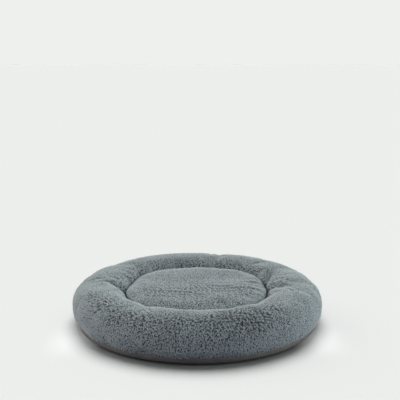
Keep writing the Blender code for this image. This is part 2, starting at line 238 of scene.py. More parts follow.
def bell(away, width, power=2):
    """1 at no distance, and falling off to both sides: exp(-|away / width|^power)."""
    return np.exp(-(np.abs(away / width) ** power))


def quarter(width, height, power, share):
    """A quarter of a superellipse, width cos^(2/power) by height sin^(2/power), from its side to its top."""
    turn = share * np.pi / 2
    return width * np.cos(turn).clip(0) ** (2 / power), height * np.sin(turn).clip(0) ** (2 / power)


def turn_between(azimuth, centre):
    """The signed turn from a centre to an azimuth, in radians from -pi to pi."""
    return (azimuth - centre + np.pi) % (2 * np.pi) - np.pi


class Outline:
    """A section's line of (radius, height) points, read at lengths along it with its outward normals."""

    def __init__(self, radius, height, start=0.0, period=None):
        length = np.concatenate([[0.0], np.cumsum(np.hypot(np.diff(radius), np.diff(height)))])
        self.length, self.radius, self.height, self.period = length - start, radius, height, period

    def at(self, lengths):
        """The points at lengths, on straight lines between the section's own points."""
        lines = (self.radius, self.height)
        return np.stack([np.interp(lengths, self.length, line, period=self.period) for line in lines], axis=-1)

    def normal(self, lengths, step=0.0006):
        """The tangent between two near points, turned a quarter turn outward."""
        way = self.at(lengths + step) - self.at(lengths - step)
        way /= np.linalg.norm(way, axis=-1, keepdims=True) + 1e-12
        return np.stack([way[..., 1], -way[..., 0]], axis=-1)


class RingOutline(Outline):
    """The plush ring's closed section: superellipse quarters above and below the waist, joined by a flat
    underside. The outer foot spreads towards the floor, by FOOT_SPREAD times the share of the way down to the
    power 1.5. Lengths start at the outer seam and run up over the crest and down the nest side."""

    def __init__(self):
        s = sizes()
        half, waist = s.ring_width / 2, (s.ring_height - s.pile) / 2
        share = np.linspace(0, 1, QUARTER_POINTS)
        foot_x, foot_drop = quarter(half - FLAT_REACH, waist + s.pile, FOOT_POWER, share)
        crown_x, crown_rise = quarter(half, s.ring_height - waist, CROWN_POWER, share)
        down = (foot_drop - waist + FOOT_SPREAD_TOP) / (FOOT_SPREAD_TOP + s.pile)
        spread = FOOT_SPREAD * down.clip(0) ** 1.5
        outer_foot = FLAT_REACH + foot_x + spread
        outer = [(outer_foot[::-1], waist - foot_drop[::-1]), (crown_x, waist + crown_rise)]
        inner = [(-crown_x[::-1], waist + crown_rise[::-1]), (-FLAT_REACH - foot_x, waist - foot_drop)]
        flat = [(np.linspace(-FLAT_REACH, FLAT_REACH + FOOT_SPREAD, 50), np.full(50, -s.pile))]
        x, z = (np.concatenate(line) for line in zip(*outer, *inner, *flat))
        length = np.concatenate([[0.0], np.cumsum(np.hypot(np.diff(x), np.diff(z)))])
        seam = np.interp(SEAM_HEIGHT, z[:QUARTER_POINTS], length[:QUARTER_POINTS])
        super().__init__(s.bed_radius - half + x, z, seam, length[-1])
        self.crest, self.nest_waist = (length[k * QUARTER_POINTS] - seam for k in (2, 3))
        foot = slice(3 * QUARTER_POINTS, 4 * QUARTER_POINTS)
        self.nest_end = np.interp(-(CLOTH + GAP), -z[foot], length[foot]) - seam
        self.floor_radius = self.radius[foot][np.searchsorted(-z[foot], -FLOOR_LEVEL)] - GAP
        self.zip_at = float(np.hypot(*(ZIP_POINT - self.at(np.array(0.0)))))


def plan_bulge(azimuth):
    """How much further out the nest's wall is at an azimuth: the sum of cosine waves through the shares."""
    waves = np.fft.rfft(NEST_SHARES) / len(NEST_SHARES) * ([1] + [2] * 9 + [1])
    order = np.arange(len(waves)).reshape(-1, *[1] * np.ndim(azimuth))
    waves = waves.reshape(order.shape)
    turns = order * azimuth
    return NEST_BULGE * (waves.real * np.cos(turns) - waves.imag * np.sin(turns)).sum(axis=0)


def nest_widening(outline, length, azimuth):
    """The nest's plan as a depth under the ring's outline: none at the crest, all from the waist down."""
    outward = -outline.normal(length)[..., 0]
    grows = smooth_step((length - outline.crest) / 0.07)
    grows *= smooth_step((outline.nest_end + 0.004 - length) / 0.016)
    return plan_bulge(azimuth) * grows * outward.clip(0, 1)


def crease_depth(outline, length, azimuth):
    """How far the gathers draw the ring's cloth in: for each crease a sharp fold in a broad valley, the sum of
    exp(-(d/w)^1.7) and exp(-(d/v)^2) of the distance d along the ring, that grows from the crest down."""
    radius = outline.at(length)[..., 0]
    fades = 1 - 0.5 * smooth_step((length - outline.nest_waist) / 0.04)
    depth = np.zeros(np.broadcast(length, azimuth).shape)
    for centre, slant, deep, start in CREASES * [np.pi / 180, np.pi / 180, 1e-3, 1e-3]:
        line = centre + slant * (radius - 0.168) / 0.045
        away = turn_between(azimuth, line) * radius
        fold = 0.5 * bell(away, 0.011, 1.7) + 0.5 * bell(away, 0.018)
        depth += deep * fold * smooth_step((length - outline.crest - start) / 0.042) * fades
    return depth


def lumps(length, azimuth, period, seed, height, rounds=(5, 26), along=(1, 5), waves=14):
    """Soft unevenness of the filling: a sum of waves that close on themselves round the bed and along the
    section."""
    random = np.random.default_rng(seed)
    turns = random.integers(*rounds, waves)[:, None, None]
    ups = random.integers(*along, waves)[:, None, None]
    phase = random.uniform(0, 2 * np.pi, (2, waves, 1, 1))
    waved = np.cos(turns * azimuth + phase[0]) * np.cos(2 * np.pi * ups * length / period + phase[1])
    return height * waved.sum(axis=0) / math.sqrt(waves)


def ring_grid():
    """The ring's outline, and the lengths and azimuths of its skin's points: lengths about a cell apart, with
    close rows at the zip slot's edges."""
    outline = RingOutline()
    near = outline.zip_at + np.array([-9.0, -7.2, -6.5, -5.9, 0.0, 5.9, 6.5, 7.2, 9.0]) * 1e-3
    free = outline.period - (near[-1] - near[0])
    rest = np.linspace(near[-1], near[0] + outline.period, round(free / RING_CELL) + 1)[1:-1]
    azimuth = np.arange(RING_COLUMNS) / RING_COLUMNS * 2 * np.pi
    return outline, np.concatenate([near, rest]), azimuth


def zip_window(azimuth, margin=0.0):
    """1 where the zip's slot is and 0 past its ends."""
    half = ZIP_SLOT_LENGTH / 2 + margin
    away = np.abs(turn_between(azimuth, np.pi / 2)) * ZIP_POINT[0]
    return 1 - smooth_step((away - half) / 0.006)


def around(radius, height, azimuth):
    """Points at radii, heights and azimuths."""
    return np.stack(np.broadcast_arrays(radius * np.cos(azimuth), radius * np.sin(azimuth), height), axis=-1)


def ring_surface(outline, rows, azimuth, depth):
    """Points of the ring's section at lengths and azimuths, each moved inward along its normal by a depth."""
    place = outline.at(rows)[:, None] - outline.normal(rows)[:, None] * depth[..., None]
    return around(place[..., 0], place[..., 1], azimuth)


def grid_quads(index, wrap_rows=False, wrap_cols=False):
    """Quads of a grid of vertex indexes, and each corner's column and row before wrapping, from 0 to 1."""
    rows, cols = index.shape
    high, wide = rows - (not wrap_rows), cols - (not wrap_cols)
    row, col = np.divmod(np.arange(high * wide)[:, None], wide)
    row, col = row + np.array([0, 0, 1, 1]), col + np.array([0, 1, 1, 0])
    return index[row % rows, col % cols], np.stack([col / wide, row / high], axis=-1)


def disc_plan(cells):
    """A square grid of places drawn onto a disc: a square ring of points becomes a circle, its corners
    spread evenly. Gives each point's share of the radius and its azimuth."""
    u, v = np.meshgrid(*[np.linspace(-1, 1, cells + 1)] * 2)
    wide = np.abs(u) >= np.abs(v)
    major, minor = np.where(wide, u, v), np.where(wide, v, u)
    lean = np.pi / 4 * np.divide(minor, major, out=np.zeros_like(u), where=major != 0)
    turn = np.where(wide, lean, np.pi / 2 - lean) + np.where(major < 0, np.pi, 0.0)
    return np.abs(major), turn % (2 * np.pi)


class TurnedBody:
    """A closed round body: a lower disc, a band of section rows from its edge to the upper disc's edge,
    and the upper disc, which can be dished by dish (1 + cos(pi r / R)) / 2. Both discs are square grids drawn
    onto a circle, so no point is crowded."""

    def __init__(self, band, cells, dish=0.0):
        share, turn = disc_plan(cells)
        edge = np.flatnonzero(share.ravel() > 1 - 1e-9)
        edge = edge[np.argsort(turn.ravel()[edge].round(9))]
        count, inner = share.size, band[1:-1]
        self.azimuth = turn.ravel()[edge]
        bowl = dish * (1 + np.cos(np.pi * share)) / 2
        points = (
            around(share * band[0, 0], band[0, 1], turn),
            around(share * band[-1, 0], band[-1, 1] - bowl, turn),
            around(inner[:, :1], inner[:, 1:], self.azimuth),
        )
        self.points = np.concatenate([part.reshape(-1, 3) for part in points])
        self.lower = np.arange(count).reshape(share.shape)
        self.upper = self.lower + count
        inner_index = np.arange(len(inner) * len(edge)).reshape(len(inner), len(edge)) + 2 * count
        self.band = np.concatenate([edge[None], inner_index, edge[None] + count])

    def faces(self):
        """All quads facing out, and their corners' places on a map: the discs side by side above the band."""
        low, low_uv = grid_quads(self.lower)
        high, high_uv = grid_quads(self.upper)
        side, side_uv = grid_quads(self.band, wrap_cols=True)
        low_uv = low_uv * [0.48, 0.66] + [0.01, 0.33]
        high_uv = high_uv * [0.48, 0.66] + [0.51, 0.33]
        side_uv = side_uv * [0.98, 0.3] + [0.01, 0.01]
        return np.concatenate([low[:, ::-1], high, side]), np.concatenate([low_uv[:, ::-1], high_uv, side_uv])


def grid_normals(points, wrap_rows=False, wrap_cols=False):
    """Unit normals of a grid of points: the way along its columns crossed with the way along its rows."""

    def way(axis, wrap):
        if wrap:
            return np.roll(points, -1, axis) - np.roll(points, 1, axis)
        return np.gradient(points, axis=axis)

    normal = np.cross(way(1, wrap_cols), way(0, wrap_rows))
    return normal / (np.linalg.norm(normal, axis=-1, keepdims=True) + 1e-12)


def between(field, row, col, wrap_rows=False, wrap_cols=False):
    """Values of a grid at places between its rows and columns, weighted by nearness."""
    rows, cols = field.shape[:2]
    low_row, low_col = np.floor(row).astype(int), np.floor(col).astype(int)
    part_row, part_col = (row - low_row)[:, None], (col - low_col)[:, None]

    def corner(r, c):
        r = r % rows if wrap_rows else r.clip(0, rows - 1)
        c = c % cols if wrap_cols else c.clip(0, cols - 1)
        return field[r, c]

    low = corner(low_row, low_col) * (1 - part_col) + corner(low_row, low_col + 1) * part_col
    high = corner(low_row + 1, low_col) * (1 - part_col) + corner(low_row + 1, low_col + 1) * part_col
    return low * (1 - part_row) + high * part_row


def moved_section(section, depth):
    """A section's line moved inward, to the left of its way, by a depth at each point."""
    way = np.gradient(section, axis=0)
    way /= np.linalg.norm(way, axis=1, keepdims=True) + 1e-12
    return section - np.stack([way[:, 1], -way[:, 0]], axis=1) * np.reshape(depth, (-1, 1))


# Meshes


def mesh_object(name, points, faces, uv=None, attributes=None, normals=None):
    """A smooth-shaded object from arrays of points and of faces with the same number of sides."""
    mesh = bpy.data.meshes.new(name)
    sides = faces.shape[1]
    mesh.vertices.add(len(points))
    mesh.vertices.foreach_set("co", np.ascontiguousarray(points, np.float32).ravel())
    mesh.loops.add(faces.size)
    mesh.loops.foreach_set("vertex_index", np.ascontiguousarray(faces, np.int32).ravel())
    mesh.polygons.add(len(faces))
    mesh.polygons.foreach_set("loop_start", np.arange(0, faces.size, sides, dtype=np.int32))
    mesh.update(calc_edges=True)
    for map_name, places in (uv or {}).items():
        layer = mesh.uv_layers.new(name=map_name)
        layer.uv.foreach_set("vector", np.ascontiguousarray(places, np.float32).ravel())
    for key, values in (attributes or {}).items():
        attribute = mesh.attributes.new(key, "FLOAT", "POINT")
        attribute.data.foreach_set("value", values.astype(np.float32).ravel())
    mesh.shade_smooth()
    if normals is not None:
        mesh.normals_split_custom_set_from_vertices(normals)
    obj = bpy.data.objects.new(name, mesh)
    bpy.context.scene.collection.objects.link(obj)
    return obj


def grid_object(name, points, wrap_rows=True):
    """An object from a grid of points whose columns close on themselves, with its bake map."""
    index = np.arange(points.shape[0] * points.shape[1]).reshape(points.shape[:2])
    faces, uv = grid_quads(index, wrap_rows, wrap_cols=True)
    return mesh_object(name, points.reshape(-1, 3), faces, {BAKE_MAP: uv})


def places_of(obj, evaluated=False):
    """The places of a mesh's points, as its modifiers leave them where evaluated is set."""
    source = obj.evaluated_get(bpy.context.evaluated_depsgraph_get()) if evaluated else obj
    places = np.empty(len(obj.data.vertices) * 3, np.float32)
    source.data.vertices.foreach_get("co", places)
    return places.reshape(-1, 3).astype(float)


def move_points(obj, places):
    """Sets the places of a mesh's points."""
    obj.data.vertices.foreach_set("co", places.astype(np.float32).ravel())
    obj.data.update()


def stuffed(obj, held, reach, spare, pressure):
    """Fills a closed skin by cloth simulation: pressure from inside, no gravity, a spare share of cloth
    that wrinkles, and the held points kept still. A point that moves by m ends reach tanh(m / reach)
    from its start, so none goes further than its reach."""
    start = places_of(obj)
    group = obj.vertex_groups.new(name="held")
    group.add(np.flatnonzero(held).tolist(), 1.0, "REPLACE")
    cloth = obj.modifiers.new("stuffed", "CLOTH")
    settings = cloth.settings
    settings.quality = 4
    settings.mass = 0.3
    settings.tension_stiffness = settings.compression_stiffness = 12
    settings.bending_stiffness = 0.25
    settings.use_pressure = True
    settings.uniform_pressure_force = pressure
    settings.shrink_min = -spare
    settings.vertex_group_mass = group.name
    settings.effector_weights.gravity = 0
    for number in range(1, 21):
        bpy.context.scene.frame_set(number)
    moved = places_of(obj, evaluated=True) - start
    obj.modifiers.remove(cloth)
    obj.vertex_groups.remove(group)
    bpy.context.scene.frame_set(1)
    far = np.linalg.norm(moved, axis=1, keepdims=True)
    move_points(obj, start + moved * (reach * np.tanh(far / reach) / (far + 1e-12)))


def finished(obj, body, material, replaces=()):
    """Gives a piece its material, the body that it rides on and the solids that it stands for."""
    obj.data.materials.append(material)
    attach(obj, body)
    if replaces:
        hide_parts(*replaces)
    return obj


# Rings of points round a curl: each one's share of the way up and how thick the curl is there, then how far
# the curl bends over and how deep its root sits in the cloth.
CURL_SIDES = 4
CURL_RINGS = np.array([0.0, 0.38, 0.72])
CURL_SWELLS = (0.72, 1.0, 0.82)
CURL_BEND = 1.2 * np.pi / 2
CURL_SINK = 0.0008
CURL_ROOT = 0.0006
JITTER = 0.42  # how far a curl's root is off its even place, in spacings
ROW_SPACING = 0.87  # the distance between rows of curls, in spacings


def curl_pattern():
    """One curl's triangles, facing out, and their corners' places on a map. Its points are three rings, then a
    root point below and a tip point above. A triangle's corners are given as a turn in sides and a ring."""
    rings = len(CURL_RINGS)
    triangles = []
    for low in range(rings - 1):
        triangles += [((0, low), (1, low), (1, low + 1)), ((0, low), (1, low + 1), (0, low + 1))]
    triangles += [((0, rings - 1), (1, rings - 1), (0.5, rings)), ((1, 0), (0, 0), (0.5, -0.6))]
    side = np.tile(np.arange(CURL_SIDES), len(triangles))[:, None]
    corners = np.repeat(triangles, CURL_SIDES, axis=0)
    turn, ring = corners[..., 0] + side, corners[..., 1]
    index = ring * CURL_SIDES + turn % CURL_SIDES
    index[ring < 0], index[ring == rings] = rings * CURL_SIDES, rings * CURL_SIDES + 1
    return index.astype(int), np.stack([turn / CURL_SIDES, (ring + 0.6) / (rings + 0.6)], axis=-1)


def clumping(places, size, seed, waves=28):
    """How strongly the pile clumps at places, about -1 to 1, and the way to the middle of the nearest clump:
    a sum of cosine waves about as long as a clump in random directions, and its slope."""
    random = np.random.default_rng(seed)
    ways = random.normal(size=(waves, 3))
    ways = unit(ways) * 2 * np.pi / size * random.uniform(0.55, 1.4, (waves, 1))
    phase = places @ ways.T + random.uniform(0, 2 * np.pi, waves)
    share = math.sqrt(2 / waves)
    return np.cos(phase).sum(1) * share, -np.sin(phase) @ ways * share * size / (2 * np.pi)


def ruffle(places):
    """How ruffled the pile is at places, 0 to 1.2, and how much painted shade darkens it there. It is most
    ruffled in a band on the upper front of the ring, higher on the right, where its painted shade is darkest,
    less on the nest side at the back, which gets no painted shade, and in the cushion's middle, and little
    elsewhere, where the pile is brushed flat."""
    patch, _ = clumping(places, 0.06, 43)
    x, y, z = places.T
    radius = np.hypot(x, y)
    right, left = smooth_step((x - 0.01) / 0.06), smooth_step((-0.13 - x) / 0.08)
    band = bell(radius - 0.264 + 0.012 * right, 0.026 + 0.010 * right) * smooth_step((z - 0.045) / 0.03)
    ends = smooth_step((0.09 * left - 0.12 - y) / 0.06)
    ends *= smooth_step((0.205 + 0.07 * left - np.abs(x)) / 0.06)
    front = band * ends * (0.75 + 0.5 * right - 0.1 * left)
    nest = bell(radius - 0.186, 0.024) * smooth_step((y + 0.02) / 0.1)
    middle = 0.45 * smooth_step((0.15 - radius) / 0.02) * smooth_step((0.06 - y) / 0.10)
    # Painted shade: the colour is darkened in the ruffled front band, most on the right, and in the cushion's
    # middle.
    ruffle_shade = front * (0.5 + 0.6 * right - 0.35 * left)
    ruffle_shade += 0.5 * middle * (1 - 0.6 * smooth_step((-0.03 - y) / 0.05))
    return (0.01 + front + 0.4 * nest + middle + 0.08 * patch).clip(0, 1.2), ruffle_shade


def unit(ways):
    """Ways of length 1."""
    return ways / np.linalg.norm(ways, axis=-1, keepdims=True)


def along_of(ways, normals):
    """The parts of ways that lie along a surface, as ways of length 1."""
    return unit(ways - (ways * normals).sum(1, keepdims=True) * normals)


def curl_objects(name, roots, normals, seed, pieces):
    """Curly tufts of pile. Each is a lock on its root that rises along the skin's normal as a sine and leans
    over as one less a cosine, swelling and then tapering to its tip. Where the pile is ruffled it leans to the
    middle of its clump, and elsewhere it is brushed outward and down. The tufts go into a few objects by
    azimuth."""
    s = sizes()
    random = np.random.default_rng(seed)
    count = len(roots)
    clump, inward = clumping(roots, s.clump_size, 41)
    ruffled, shade = ruffle(roots)
    brushed = unit(np.column_stack([roots[:, :2], -np.hypot(roots[:, 0], roots[:, 1])]))
    lean_way = random.normal(size=(count, 3)) * 0.5 + inward * (0.1 + 0.6 * ruffled[:, None])
    lean_way = along_of(lean_way + brushed * 0.9 * (1 - ruffled[:, None]), normals)
    side_way = np.cross(normals, lean_way)
    swell = clump.clip(-1.6, 1.2) * (0.04 + 0.48 * ruffled)
    rise = s.curl_length * (random.uniform(0.84, 1.06, (count, 1)) + swell[:, None])
    lean = s.curl_length * random.uniform(0.45, 1.0, (count, 1))
    sway = s.curl_length * random.uniform(-0.35, 0.35, (count, 1))
    width = s.curl_width / 2 * random.uniform(0.75, 1.2, (count, 1))
    # Random tone, less painted shade where the pile is ruffled. In ruffled parts it adds a painted highlight on
    # the clumps' crowns and painted shade between them.
    tone_and_shade = random.uniform(0, 1, count) - shade
    tone_and_shade += ruffled * (0.9 * clump.clip(0, 1.2) - 2.2 * (-0.3 - clump).clip(0, 1.2))

    def spine(share):
        turn = share * CURL_BEND
        up = roots + normals * (rise * np.sin(turn) - CURL_SINK)
        return up + lean_way * lean * (1 - np.cos(turn)) + side_way * sway * share**2

    rings, shading = [], []
    for share, thick in zip(CURL_RINGS, CURL_SWELLS):
        turn = share * CURL_BEND
        way = normals * rise * math.cos(turn) + lean_way * lean * math.sin(turn)
        along = unit(way + side_way * sway * share)
        across = along_of(side_way, along)
        over = np.cross(along, across)
        for angle in 2 * np.pi * np.arange(CURL_SIDES) / CURL_SIDES:
            out = across * math.cos(angle) + over * math.sin(angle)
            rings.append(spine(share) + width * thick * out)
            shading.append(out * (1 - s.softness) + normals * s.softness)
    rings += [roots - normals * (CURL_SINK + CURL_ROOT), spine(1.0)]
    shading += [normals, along * (1 - s.softness) + normals * s.softness]
    points, shading = np.stack(rings, axis=1), unit(np.stack(shading, axis=1))
    heights = np.repeat(CURL_RINGS, CURL_SIDES).tolist() + [0.0, 1.0]
    faces, corners = curl_pattern()
    made = []
    azimuth_share = np.arctan2(roots[:, 1], roots[:, 0]) / (2 * np.pi) % 1.0
    piece_of = (azimuth_share * pieces).astype(int).clip(0, pieces - 1)
    for piece in range(pieces):
        mine = np.flatnonzero(piece_of == piece)
        number, cells = len(mine), math.ceil(math.sqrt(len(mine)))
        starts = np.arange(number)[:, None, None] * points.shape[1]
        cell = np.stack(np.divmod(np.arange(number), cells)[::-1], axis=1)[:, None, None]
        uv = (cell + 0.08 + 0.84 * corners) / cells
        attributes = {"rise": np.tile(heights, number), "tone_and_shade": np.repeat(tone_and_shade[mine], points.shape[1])}
        made.append(
            mesh_object(
                f"{name}_{piece + 1}", points[mine].reshape(-1, 3), (faces + starts).reshape(-1, 3),
                {BAKE_MAP: uv}, attributes, shading[mine].reshape(-1, 3),
            )
        )
    return made


def scattered_rows(outline, lengths, seed):
    """Places for curls in rows round the bed: as many in a row as its circumference holds, each moved at
    random by up to half a spacing. Gives each curl's length along the outline and its azimuth."""
    random = np.random.default_rng(seed)
    circumference = 2 * np.pi * outline.at(lengths)[:, 0]
    counts = np.maximum(np.round(circumference / sizes().curl_spacing).astype(int), 1)
    row = np.repeat(np.arange(len(lengths)), counts)
    order = np.arange(counts.sum()) - np.repeat(np.cumsum(counts) - counts, counts)
    offset = random.uniform(0, 1, len(lengths))[row]
    azimuth = (order + offset + random.uniform(-JITTER, JITTER, len(row))) / counts[row] * 2 * np.pi
    step = lengths[1] - lengths[0]
    return lengths[row] + random.uniform(-JITTER, JITTER, len(row)) * step, azimuth % (2 * np.pi)


# Materials


def linear(code):
    """The linear colour of an sRGB hex value."""
    part = np.array([int(code[place : place + 2], 16) for place in (1, 3, 5)]) / 255
    return (*np.where(part <= 0.04045, part / 12.92, ((part + 0.055) / 1.055) ** 2.4).tolist(), 1.0)


def material(name, build, *details):
    """The material of a name. Where there is none yet it is made, and build adds its nodes."""
    made = bpy.data.materials.get(name)
    if made is None:
        made = bpy.data.materials.new(name)
        made.use_nodes = True
        build(made.node_tree, made.node_tree.nodes["Principled BSDF"], *details)
    return made


def add(tree, kind, links=None, outputs=None, **settings):
    """Adds a node with its settings; links maps its inputs to values or to other nodes' outputs, and
    outputs maps its outputs to the sockets they feed."""
    made = tree.nodes.new(kind)
    for key, value in settings.items():
        setattr(made, key, value)
    for key, value in (links or {}).items():
        if isinstance(value, bpy.types.NodeSocket):
            tree.links.new(value, made.inputs[key])
        else:
            made.inputs[key].default_value = value
    for key, socket in (outputs or {}).items():
        tree.links.new(made.outputs[key], socket)
    return made


def set_values(shader, **values):
    """Sets a shader's constant inputs, whose names' spaces are written as underscores."""
    for key, value in values.items():
        shader.inputs[key.replace("_", " ")].default_value = value


def noise(tree, scale, detail):
    """Noise fixed to the piece, with a scale in patches to the metre."""
    spot = add(tree, "ShaderNodeTexCoord")
    links = {"Vector": spot.outputs["Object"], "Scale": scale, "Detail": detail}
    return add(tree, "ShaderNodeTexNoise", links).outputs["Fac"]


def ramp(tree, value, low, high, out_low, out_high, outputs=None):
    """A value from low to high, taken evenly to between two others and kept there."""
    links = {"Value": value, "From Min": low, "From Max": high, "To Min": out_low, "To Max": out_high}
    return add(tree, "ShaderNodeMapRange", links, outputs).outputs[0]


def maths(tree, operation, first, second, outputs=None, **settings):
    """Two values added, multiplied or raised to a power."""
    links = {0: first, 1: second}
    return add(tree, "ShaderNodeMath", links, outputs, operation=operation, **settings).outputs[0]


def mixed(tree, share, low, high, target=None):
    """Two linear colours mixed by a share, fed to a target socket where there is one."""
    outputs = None if target is None else {2: target}
    return add(tree, "ShaderNodeMix", {0: share, 6: low, 7: high}, outputs, data_type="RGBA").outputs[2]


def roughen(tree, shader, height, strength, distance):
    """Turns a shader's normal as a height of so many metres at most would."""
    links = {"Height": height, "Strength": strength, "Distance": distance}
    add(tree, "ShaderNodeBump", links, {0: shader.inputs["Normal"]})


def sherpa_pile(tree, shader):
    """Curly polyester sherpa pile: brushed fibre curls, matt, with a faint bloom of light at their edges.
    Painted shade darkens the roots against the lighter tips. Each curl differs a little in tone, ruffled parts
    get painted shade and highlight, and the tone varies in patches about 40 mm across where the pile lies
    differently."""
    rise = add(tree, "ShaderNodeAttribute", attribute_name="rise").outputs["Fac"]
    tone_and_shade = add(tree, "ShaderNodeAttribute", attribute_name="tone_and_shade").outputs["Fac"]
    # Painted shade: each curl darkens from its tip down to its root.
    climb = ramp(tree, rise, 0.1, 0.7, 0.0, 1.0)
    colour = mixed(tree, climb, linear(looks().curl_root_shade), linear(looks().curl_tip))
    # The per-curl random tone with its painted shade and highlight, turned into a brightness.
    shade = ramp(tree, tone_and_shade, -1.8, 1.5, 0.52, 1.18)
    patch = ramp(tree, noise(tree, 25.0, 3.0), 0.3, 0.7, 0.94, 1.06)
    both = maths(tree, "MULTIPLY", shade, patch)
    grey = add(tree, "ShaderNodeCombineColor", {"Red": both, "Green": both, "Blue": both})
    add(
        tree, "ShaderNodeMix", {0: 1.0, 6: colour, 7: grey.outputs[0]},
        {2: shader.inputs["Base Color"]}, data_type="RGBA", blend_type="MULTIPLY",
    )
    set_values(shader, Roughness=0.9, Specular_IOR_Level=0.2, Sheen_Weight=0.4, Sheen_Roughness=0.5)


def shaded_plush_backing(tree, shader):
    """Knitted backing of the pile, seen only in the gaps between curls: matt and fuzzy, painted dark as the
    shade between the curls.
    """
    fuzz = noise(tree, 420.0, 4.0)
    # Painted shade: dark colours that stand for the shade in the gaps between the curls.
    mixed(tree, fuzz, linear("#262B2F"), linear("#565F63"), shader.inputs["Base Color"])
    roughen(tree, shader, fuzz, 0.6, 0.001)
    set_values(shader, Roughness=0.95, Sheen_Weight=0.3)


def woven(tree, shader, dark, light, thread, roughness, sheen=0.1):
    """Plain-woven polyester: two sets of threads, over and under by turns, a little slubby. The map is in
    metres along the cloth, and a thread is as wide as its size says, coarser than life so that it shows."""
    spot = add(tree, "ShaderNodeUVMap", uv_map=WEAVE_MAP).outputs[0]
    links = {"Vector": spot, "Scale": math.pi / 10 / thread, "Distortion": 0.25, "Detail": 1.0}
    across, along = (
        add(tree, "ShaderNodeTexWave", links, wave_type="BANDS", bands_direction=way).outputs["Fac"]
        for way in "XY"
    )
    weave = maths(tree, "MULTIPLY", across, along)
    links = {"Vector": spot, "Scale": 30.0, "Detail": 5.0, "Roughness": 0.6}
    slub = ramp(tree, add(tree, "ShaderNodeTexNoise", links).outputs["Fac"], 0.3, 0.7, -0.2, 0.2)
    share = maths(tree, "ADD", weave, slub, use_clamp=True)
    mixed(tree, share, linear(dark), linear(light), shader.inputs["Base Color"])
    roughen(tree, shader, weave, 0.5, thread * 0.3)
    set_values(shader, Roughness=roughness, Sheen_Weight=sheen)


def lining_twill():
    """The plain cloth of the nest's floor and of the cushion's underside."""
    return material("lining_twill", woven, "#4E5456", looks().lining, 0.0012, 0.85, 0.2)


def fibrefill(tree, shader):
    """Hollow polyester fibrefill behind a thin cover: white, matt and cloudy."""
    cloud = noise(tree, 90.0, 6.0)
    mixed(tree, cloud, linear("#C9C9C5"), linear("#F2F2EF"), shader.inputs["Base Color"])
    roughen(tree, shader, cloud, 0.8, 0.002)
    set_values(shader, Roughness=0.95, Sheen_Weight=0.4)


def zip_alloy(tree, shader):
    """Die-cast zinc with a dark grey lacquer: soft gloss, worn a little brighter in patches."""
    wear = noise(tree, 900.0, 4.0)
    mixed(tree, wear, linear("#4A4D50"), linear("#8C9092"), shader.inputs["Base Color"])
    ramp(tree, wear, 0.0, 1.0, 0.28, 0.5, {0: shader.inputs["Roughness"]})
    roughen(tree, shader, wear, 0.15, 0.0002)
    set_values(shader, Metallic=1.0)


def nylon(tree, shader):
    """Nylon monofilament of the zip's coils: smooth and slightly glossy, dark grey."""
    grain = noise(tree, 700.0, 2.0)
    mixed(tree, grain, linear("#33373A"), linear("#4B5054"), shader.inputs["Base Color"])
    set_values(shader, Roughness=0.35, IOR=1.53)


def floor_paint(tree, shader):
    """Matt paint of the studio floor, one colour to the camera and another to the light that it throws back.
    Light from all round that only the floor gets is a glow, less where the bed stands in its way."""
    seen = add(tree, "ShaderNodeLightPath").outputs["Is Camera Ray"]
    mixed(tree, seen, linear(looks().bounce), linear(looks().floor), shader.inputs["Base Color"])
    sky = add(tree, "ShaderNodeAmbientOcclusion", {"Distance": 0.4}, samples=4).outputs["AO"]
    open_sky = maths(tree, "POWER", sky, 1.6)
    maths(tree, "MULTIPLY", open_sky, 0.15, {0: shader.inputs["Emission Strength"]})
    set_values(shader, Emission_Color=linear(looks().floor), Roughness=1.0, Specular_IOR_Level=0.0)


# Pieces


def ring_skin_depth(outline, rows, azimuth):
    """How far under the plush outline the ring's skin lies: the pile's depth, more behind the base's cloth,
    the gathers, the flat beside the zip and the slot for it."""
    s = sizes()
    length = rows[:, None]
    beside, slot = zip_window(azimuth, 0.02), zip_window(azimuth)
    beyond = (length + 0.0015) % outline.period
    covered = smooth_step((beyond - outline.nest_end) / 0.003)
    covered *= smooth_step((outline.period - beyond) / 0.003)
    depth = s.pile + covered * (CLOTH + GAP + CLOTH_CLEARANCE) + 0 * azimuth
    depth += crease_depth(outline, length, azimuth) * (1 - covered)
    depth += nest_widening(outline, length, azimuth)
    depth -= lumps(length, azimuth, outline.period, 11, 0.0007) * (1 - covered) * (1 - beside)
    depth += 0.0022 * bell(length - outline.zip_at, 0.010) * beside
    return depth + (ZIP_SLOT_DEPTH - s.pile) * (np.abs(length - outline.zip_at) < ZIP_SLOT_HALF) * slot


